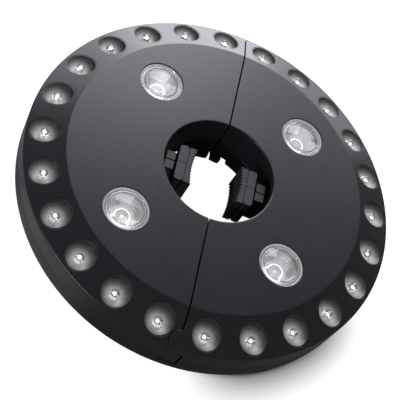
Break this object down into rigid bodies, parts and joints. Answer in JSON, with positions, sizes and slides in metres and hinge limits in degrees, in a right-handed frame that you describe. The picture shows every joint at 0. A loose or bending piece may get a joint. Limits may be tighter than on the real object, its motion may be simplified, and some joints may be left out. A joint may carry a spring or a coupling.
{
  "type": "patio umbrella light",
  "caption": "Flat round lamp in two hinged halves that closes around a parasol pole, with sprung toothed jaws, small lights round a sloping rim and larger lights in the face.",
  "frame": {"origin": "centre of the pole passage on the rear plane, on which the lamp lies with its lights up", "axes": "+Z along the pole towards the lit face, X along the jaws' slide, Y along the seam with the hinge at -Y and the catch at +Y"},
  "size_m": [0.21, 0.2111, 0.0354],
  "materials": {
    "cover_plastic": "satin moulded charcoal",
    "housing_plastic": "satin moulded near black",
    "reflector": "metallised plastic, lightly hazed",
    "lens": "clear moulded plastic, optically smooth",
    "rim_led": "clear resin, lit",
    "main_led": "clear resin, lit",
    "board": "green solder mask",
    "cell": "printed steel can, plain",
    "contact": "nickel-plated spring steel",
    "lead": "insulated wire",
    "jaw_plastic": "satin moulded near black",
    "grip_rubber": "matte",
    "steel": "zinc plated",
    "button_plastic": "satin",
    "switch_plastic": "matte"
  },
  "bodies": {
    "left_half": {"left_front_cover": "cover_plastic", "left_rear_housing": "housing_plastic", "left_rim_reflectors": "reflector", "left_rim_leds": "rim_led", "left_main_reflectors": "reflector", "left_main_lenses": "lens", "left_main_leds": "main_led", "left_led_board": "board", "left_cells": "cell", "left_contact_plates": "contact", "left_contact_springs": "contact", "left_battery_leads": "lead", "left_jaw_springs": "steel", "left_jaw_retainer": "jaw_plastic", "left_cover_screws": "steel", "left_small_screws": "steel", "left_hook_pin": "steel", "hinge_pin": "steel", "catch_spring": "steel", "mode_switch": "switch_plastic", "control_board": "board"},
    "right_half": {"right_front_cover": "cover_plastic", "right_rear_housing": "housing_plastic", "right_rim_reflectors": "reflector", "right_rim_leds": "rim_led", "right_main_reflectors": "reflector", "right_main_lenses": "lens", "right_main_leds": "main_led", "right_led_board": "board", "right_cells": "cell", "right_contact_plates": "contact", "right_contact_springs": "contact", "right_battery_leads": "lead", "right_jaw_springs": "steel", "right_jaw_retainer": "jaw_plastic", "right_cover_screws": "steel", "right_small_screws": "steel", "right_hook_pin": "steel"},
    "left_jaw": {"left_jaw_slider": "jaw_plastic", "left_grip_pad": "grip_rubber"},
    "right_jaw": {"right_jaw_slider": "jaw_plastic", "right_grip_pad": "grip_rubber"},
    "catch": {"catch_button": "button_plastic"},
    "power_button": {"power_button": "button_plastic"},
    "left_door": {"left_battery_door": "housing_plastic"},
    "right_door": {"right_battery_door": "housing_plastic"},
    "left_hook": {"left_hook": "jaw_plastic"},
    "right_hook": {"right_hook": "jaw_plastic"}
  },
  "joints": [
    {"name": "seam_hinge", "type": "hinge", "parent": "left_half", "child": "right_half", "pos_m": [0, -0.1015, 0.016], "axis": [0, 0, -1], "range_deg": [0, 90]},
    {"name": "left_jaw_slide", "type": "slide", "parent": "left_half", "child": "left_jaw", "axis": [-1, 0, 0], "range_m": [0, 0.0095], "stiffness_N_per_m": 350, "springref_m": -0.004, "deforming": ["left_jaw_springs"]},
    {"name": "right_jaw_slide", "type": "slide", "parent": "right_half", "child": "right_jaw", "axis": [1, 0, 0], "range_m": [0, 0.0095], "stiffness_N_per_m": 350, "springref_m": -0.004, "deforming": ["right_jaw_springs"]},
    {"name": "catch_press", "type": "slide", "parent": "left_half", "child": "catch", "axis": [0, -1, 0], "range_m": [0, 0.0026], "stiffness_N_per_m": 500, "springref_m": -0.002, "deforming": ["catch_spring"]},
    {"name": "power_press", "type": "slide", "parent": "left_half", "child": "power_button", "axis": [0.5, -0.866, 0], "range_m": [0, 0.0008], "stiffness_N_per_m": 1200, "springref_m": -0.0005},
    {"name": "left_door_hinge", "type": "hinge", "parent": "left_half", "child": "left_door", "pos_m": [-0.0718, -0.0281, 0.001], "axis": [-1, 0, 0], "range_deg": [0, 90]},
    {"name": "right_door_hinge", "type": "hinge", "parent": "right_half", "child": "right_door", "pos_m": [0.0718, -0.0281, 0.001], "axis": [-1, 0, 0], "range_deg": [0, 90]},
    {"name": "left_hook_hinge", "type": "hinge", "parent": "left_half", "child": "left_hook", "pos_m": [-0.042, 0.044, 0.003], "axis": [-1, 0, 0], "range_deg": [0, 90]},
    {"name": "right_hook_hinge", "type": "hinge", "parent": "right_half", "child": "right_hook", "pos_m": [0.042, -0.044, 0.003], "axis": [1, 0, 0], "range_deg": [0, 90]}
  ]
}
